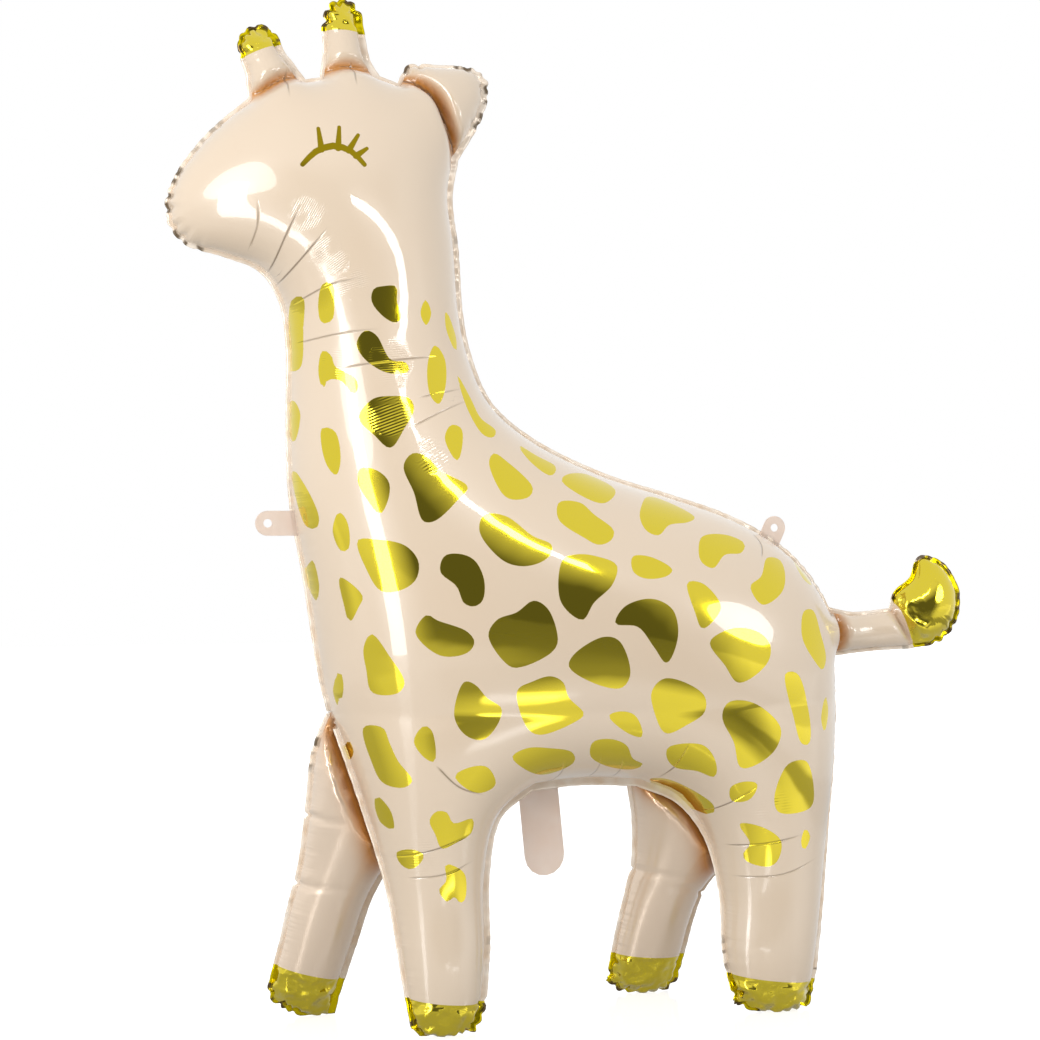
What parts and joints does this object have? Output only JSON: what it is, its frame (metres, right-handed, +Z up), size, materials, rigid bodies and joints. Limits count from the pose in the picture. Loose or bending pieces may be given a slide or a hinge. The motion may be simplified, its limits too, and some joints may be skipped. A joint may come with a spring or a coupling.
{
  "type": "giraffe foil balloon",
  "caption": "Air-filled standing giraffe balloon of pearl foil with mirror-gold spots, horn tips, tail tuft and hooves.",
  "frame": {"origin": "on the floor, under the middle of the balloon's bounding box", "axes": "+Z up from the hooves to the horns, -X towards the nose, +X towards the tail, -Y out of the left flank"},
  "size_m": [0.8569, 0.2574, 1.0204],
  "materials": {
    "pearl_foil": "pearl cream foil with mirror-gold print",
    "valve_film": "thin peach film, slightly see-through"
  },
  "bodies": {
    "root": {"foil_envelope": "pearl_foil", "valve_tail": "valve_film"}
  },
  "joints": []
}
